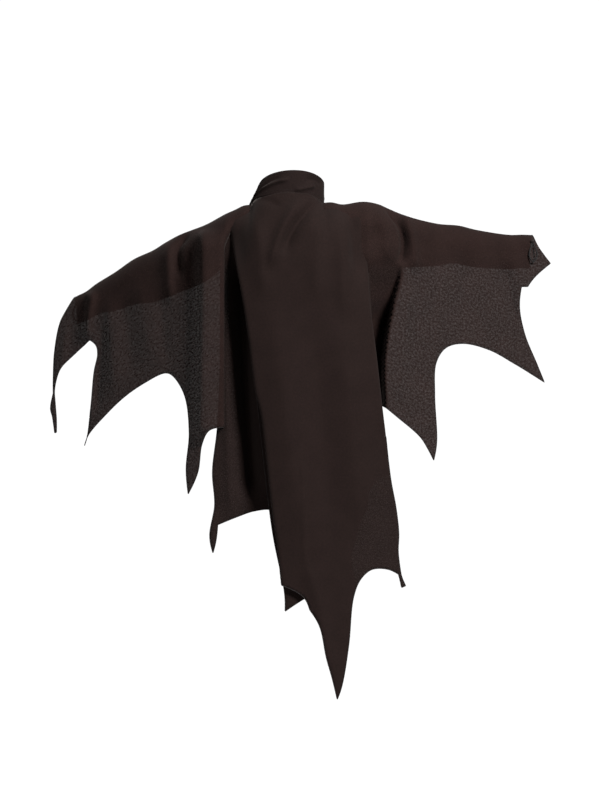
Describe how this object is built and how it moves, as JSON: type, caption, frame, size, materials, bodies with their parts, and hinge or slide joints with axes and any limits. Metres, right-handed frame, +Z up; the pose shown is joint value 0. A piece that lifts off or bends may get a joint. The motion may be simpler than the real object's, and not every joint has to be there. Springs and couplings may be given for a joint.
{
  "type": "child's bat-wing cape",
  "caption": "Child's open-front bat-wing cape with a stand collar, scalloped pointed hems and elastic finger loops, posed with the wings spread.",
  "frame": {"origin": "middle of the wearer's neck at the level of the collar's base", "axes": "+Z up, +Y the way the wearer faces, +X towards the wearer's right hand"},
  "size_m": [0.9843, 0.3505, 0.9695],
  "materials": {
    "cape_cloth": "matt crepe",
    "wing_cloth": "matt crepe, a little sheer",
    "collar_cloth": "matt crepe over a stiffener",
    "stiffener": "bonded felt",
    "thread": "overlock thread",
    "elastic": "braided cover",
    "fastener": "hook and loop pile",
    "label_cloth": "satin ribbon"
  },
  "bodies": {
    "cape": {"collar_lining": "collar_cloth", "collar_interfacing": "stiffener", "collar_outer": "collar_cloth", "neck_tape": "thread", "loop_tape": "fastener", "care_label": "label_cloth", "left_shoulder": "cape_cloth", "right_shoulder": "cape_cloth", "back_panel": "cape_cloth", "back_panel_hem": "thread", "left_side_panel": "wing_cloth", "left_side_panel_hem": "thread", "right_side_panel": "cape_cloth", "right_side_panel_hem": "thread", "pleat_underlay": "cape_cloth", "pleat_underlay_hem": "thread"},
    "collar_tab": {"collar_tab": "collar_cloth", "hook_tape": "fastener"},
    "left_wing": {"left_wing": "wing_cloth", "left_wing_hem": "thread", "left_underarm_panel": "wing_cloth", "left_finger_loop_tack": "thread"},
    "right_wing": {"right_wing": "wing_cloth", "right_wing_hem": "thread", "right_finger_loop_tack": "thread"},
    "left_finger_loop": {"left_finger_loop": "elastic"},
    "right_finger_loop": {"right_finger_loop": "elastic"}
  },
  "joints": [
    {"name": "left_wing_swing", "type": "hinge", "parent": "cape", "child": "left_wing", "pos_m": [-0.112, -0.005, -0.05], "axis": [0, 0, -1], "range_deg": [-20, 45]},
    {"name": "right_wing_swing", "type": "hinge", "parent": "cape", "child": "right_wing", "pos_m": [0.15, -0.005, -0.03], "axis": [0, 0, 1], "range_deg": [-20, 45]},
    {"name": "collar_tab_peel", "type": "hinge", "parent": "cape", "child": "collar_tab", "pos_m": [-0.0196, 0.0655, 0.007], "axis": [0, 0, 1], "range_deg": [0, 120]},
    {"name": "left_finger_loop_swing", "type": "hinge", "parent": "left_wing", "child": "left_finger_loop", "pos_m": [-0.416, 0.1972, -0.168], "axis": [1, 0, 0], "range_deg": [-20, 20]},
    {"name": "right_finger_loop_swing", "type": "hinge", "parent": "right_wing", "child": "right_finger_loop", "pos_m": [0.481, 0.1755, -0.0533], "axis": [1, 0, 0], "range_deg": [-60, 0]}
  ]
}
